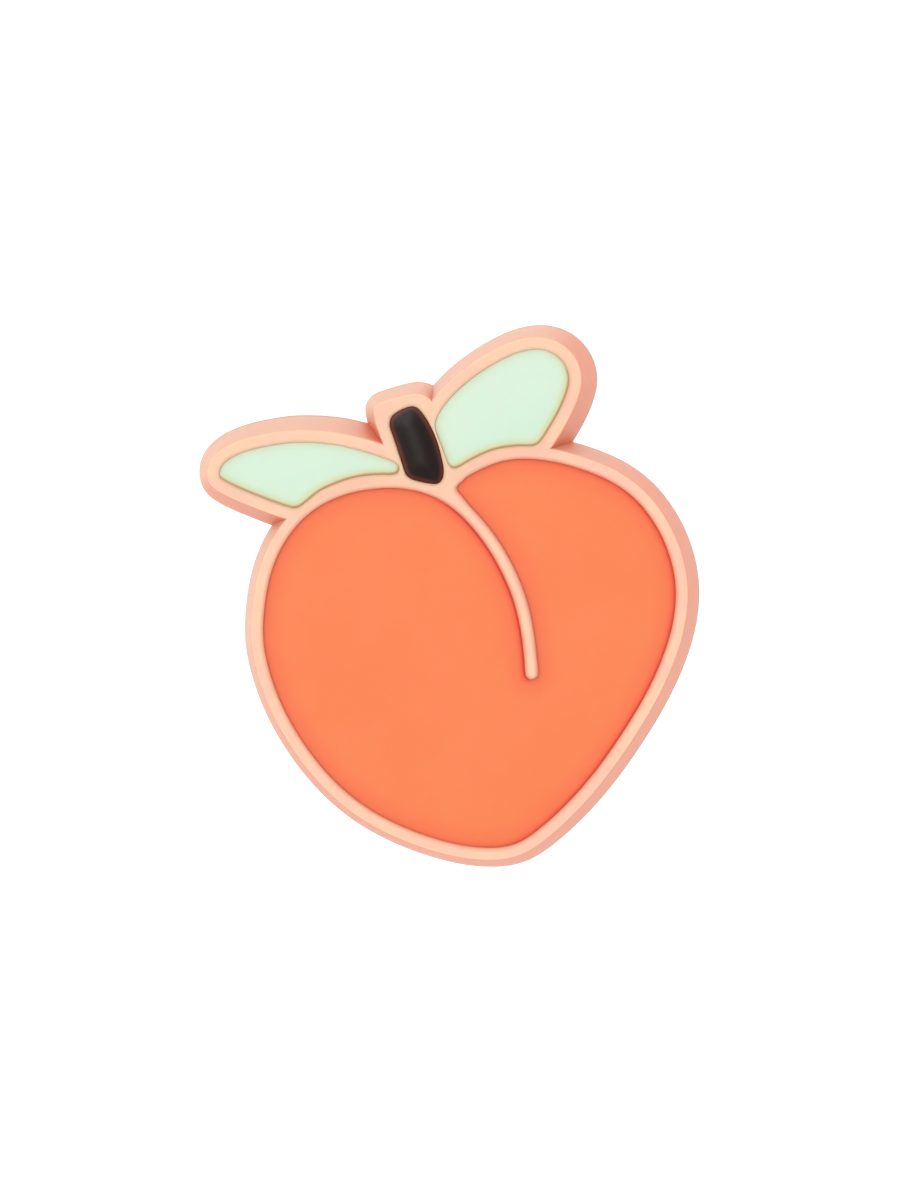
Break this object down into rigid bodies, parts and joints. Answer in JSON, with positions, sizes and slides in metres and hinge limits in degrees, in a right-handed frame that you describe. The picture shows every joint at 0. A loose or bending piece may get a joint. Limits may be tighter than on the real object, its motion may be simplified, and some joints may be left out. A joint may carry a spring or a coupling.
{
  "type": "peach-shaped clog charm",
  "caption": "Flat moulded soft-PVC charm in the shape of a peach with stem and leaves, with a snap button behind it that holds it in a vent hole of a clog.",
  "frame": {"origin": "centre of the snap button's flat foot, below the middle of the peach", "axes": "+Z out of the charm's picture face, +Y from the peach's tip towards its stem, +X to the right as the face is seen"},
  "size_m": [0.0246, 0.0274, 0.0094],
  "materials": {
    "pink_pvc": "satin soft PVC, pale peach pink",
    "orange_pvc": "satin soft PVC, coral orange",
    "mint_pvc": "satin soft PVC, pale mint green",
    "black_pvc": "glossy soft PVC, brown-black",
    "button_plastic": "satin moulded plastic, off-white"
  },
  "bodies": {
    "root": {"rim_plate": "pink_pvc", "peach_fill": "orange_pvc", "left_leaf_fill": "mint_pvc", "right_leaf_fill": "mint_pvc", "stem_fill": "black_pvc", "snap_button": "button_plastic"}
  },
  "joints": []
}
